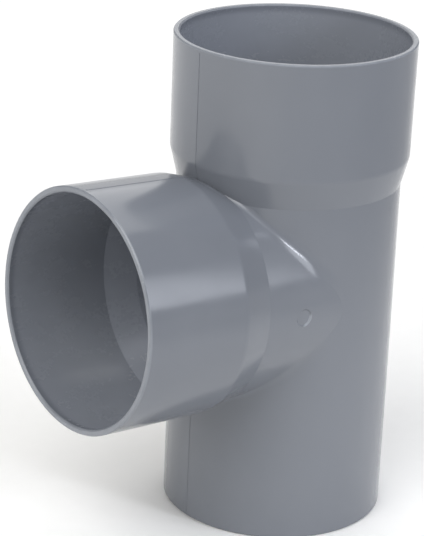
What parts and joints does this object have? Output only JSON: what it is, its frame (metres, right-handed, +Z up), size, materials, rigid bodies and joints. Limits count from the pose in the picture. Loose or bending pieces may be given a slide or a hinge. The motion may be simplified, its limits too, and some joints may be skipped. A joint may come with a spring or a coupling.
{
  "type": "pipe tee",
  "caption": "Grey PVC drain pipe tee: straight run with a plain spigot below and a glue socket on top, and a side branch with a matching socket that rises slightly.",
  "frame": {"origin": "centre of the spigot's end face at the foot of the run, on the surface it stands on", "axes": "+Z up the run axis to the top socket; the branch points along +X and rises 3 degrees towards its mouth; the XZ plane is the mirror plane and the mould's parting plane"},
  "size_m": [0.1362, 0.085, 0.175],
  "materials": {
    "grey_pvc": "satin"
  },
  "bodies": {
    "root": {"pipe_tee": "grey_pvc"}
  },
  "joints": []
}
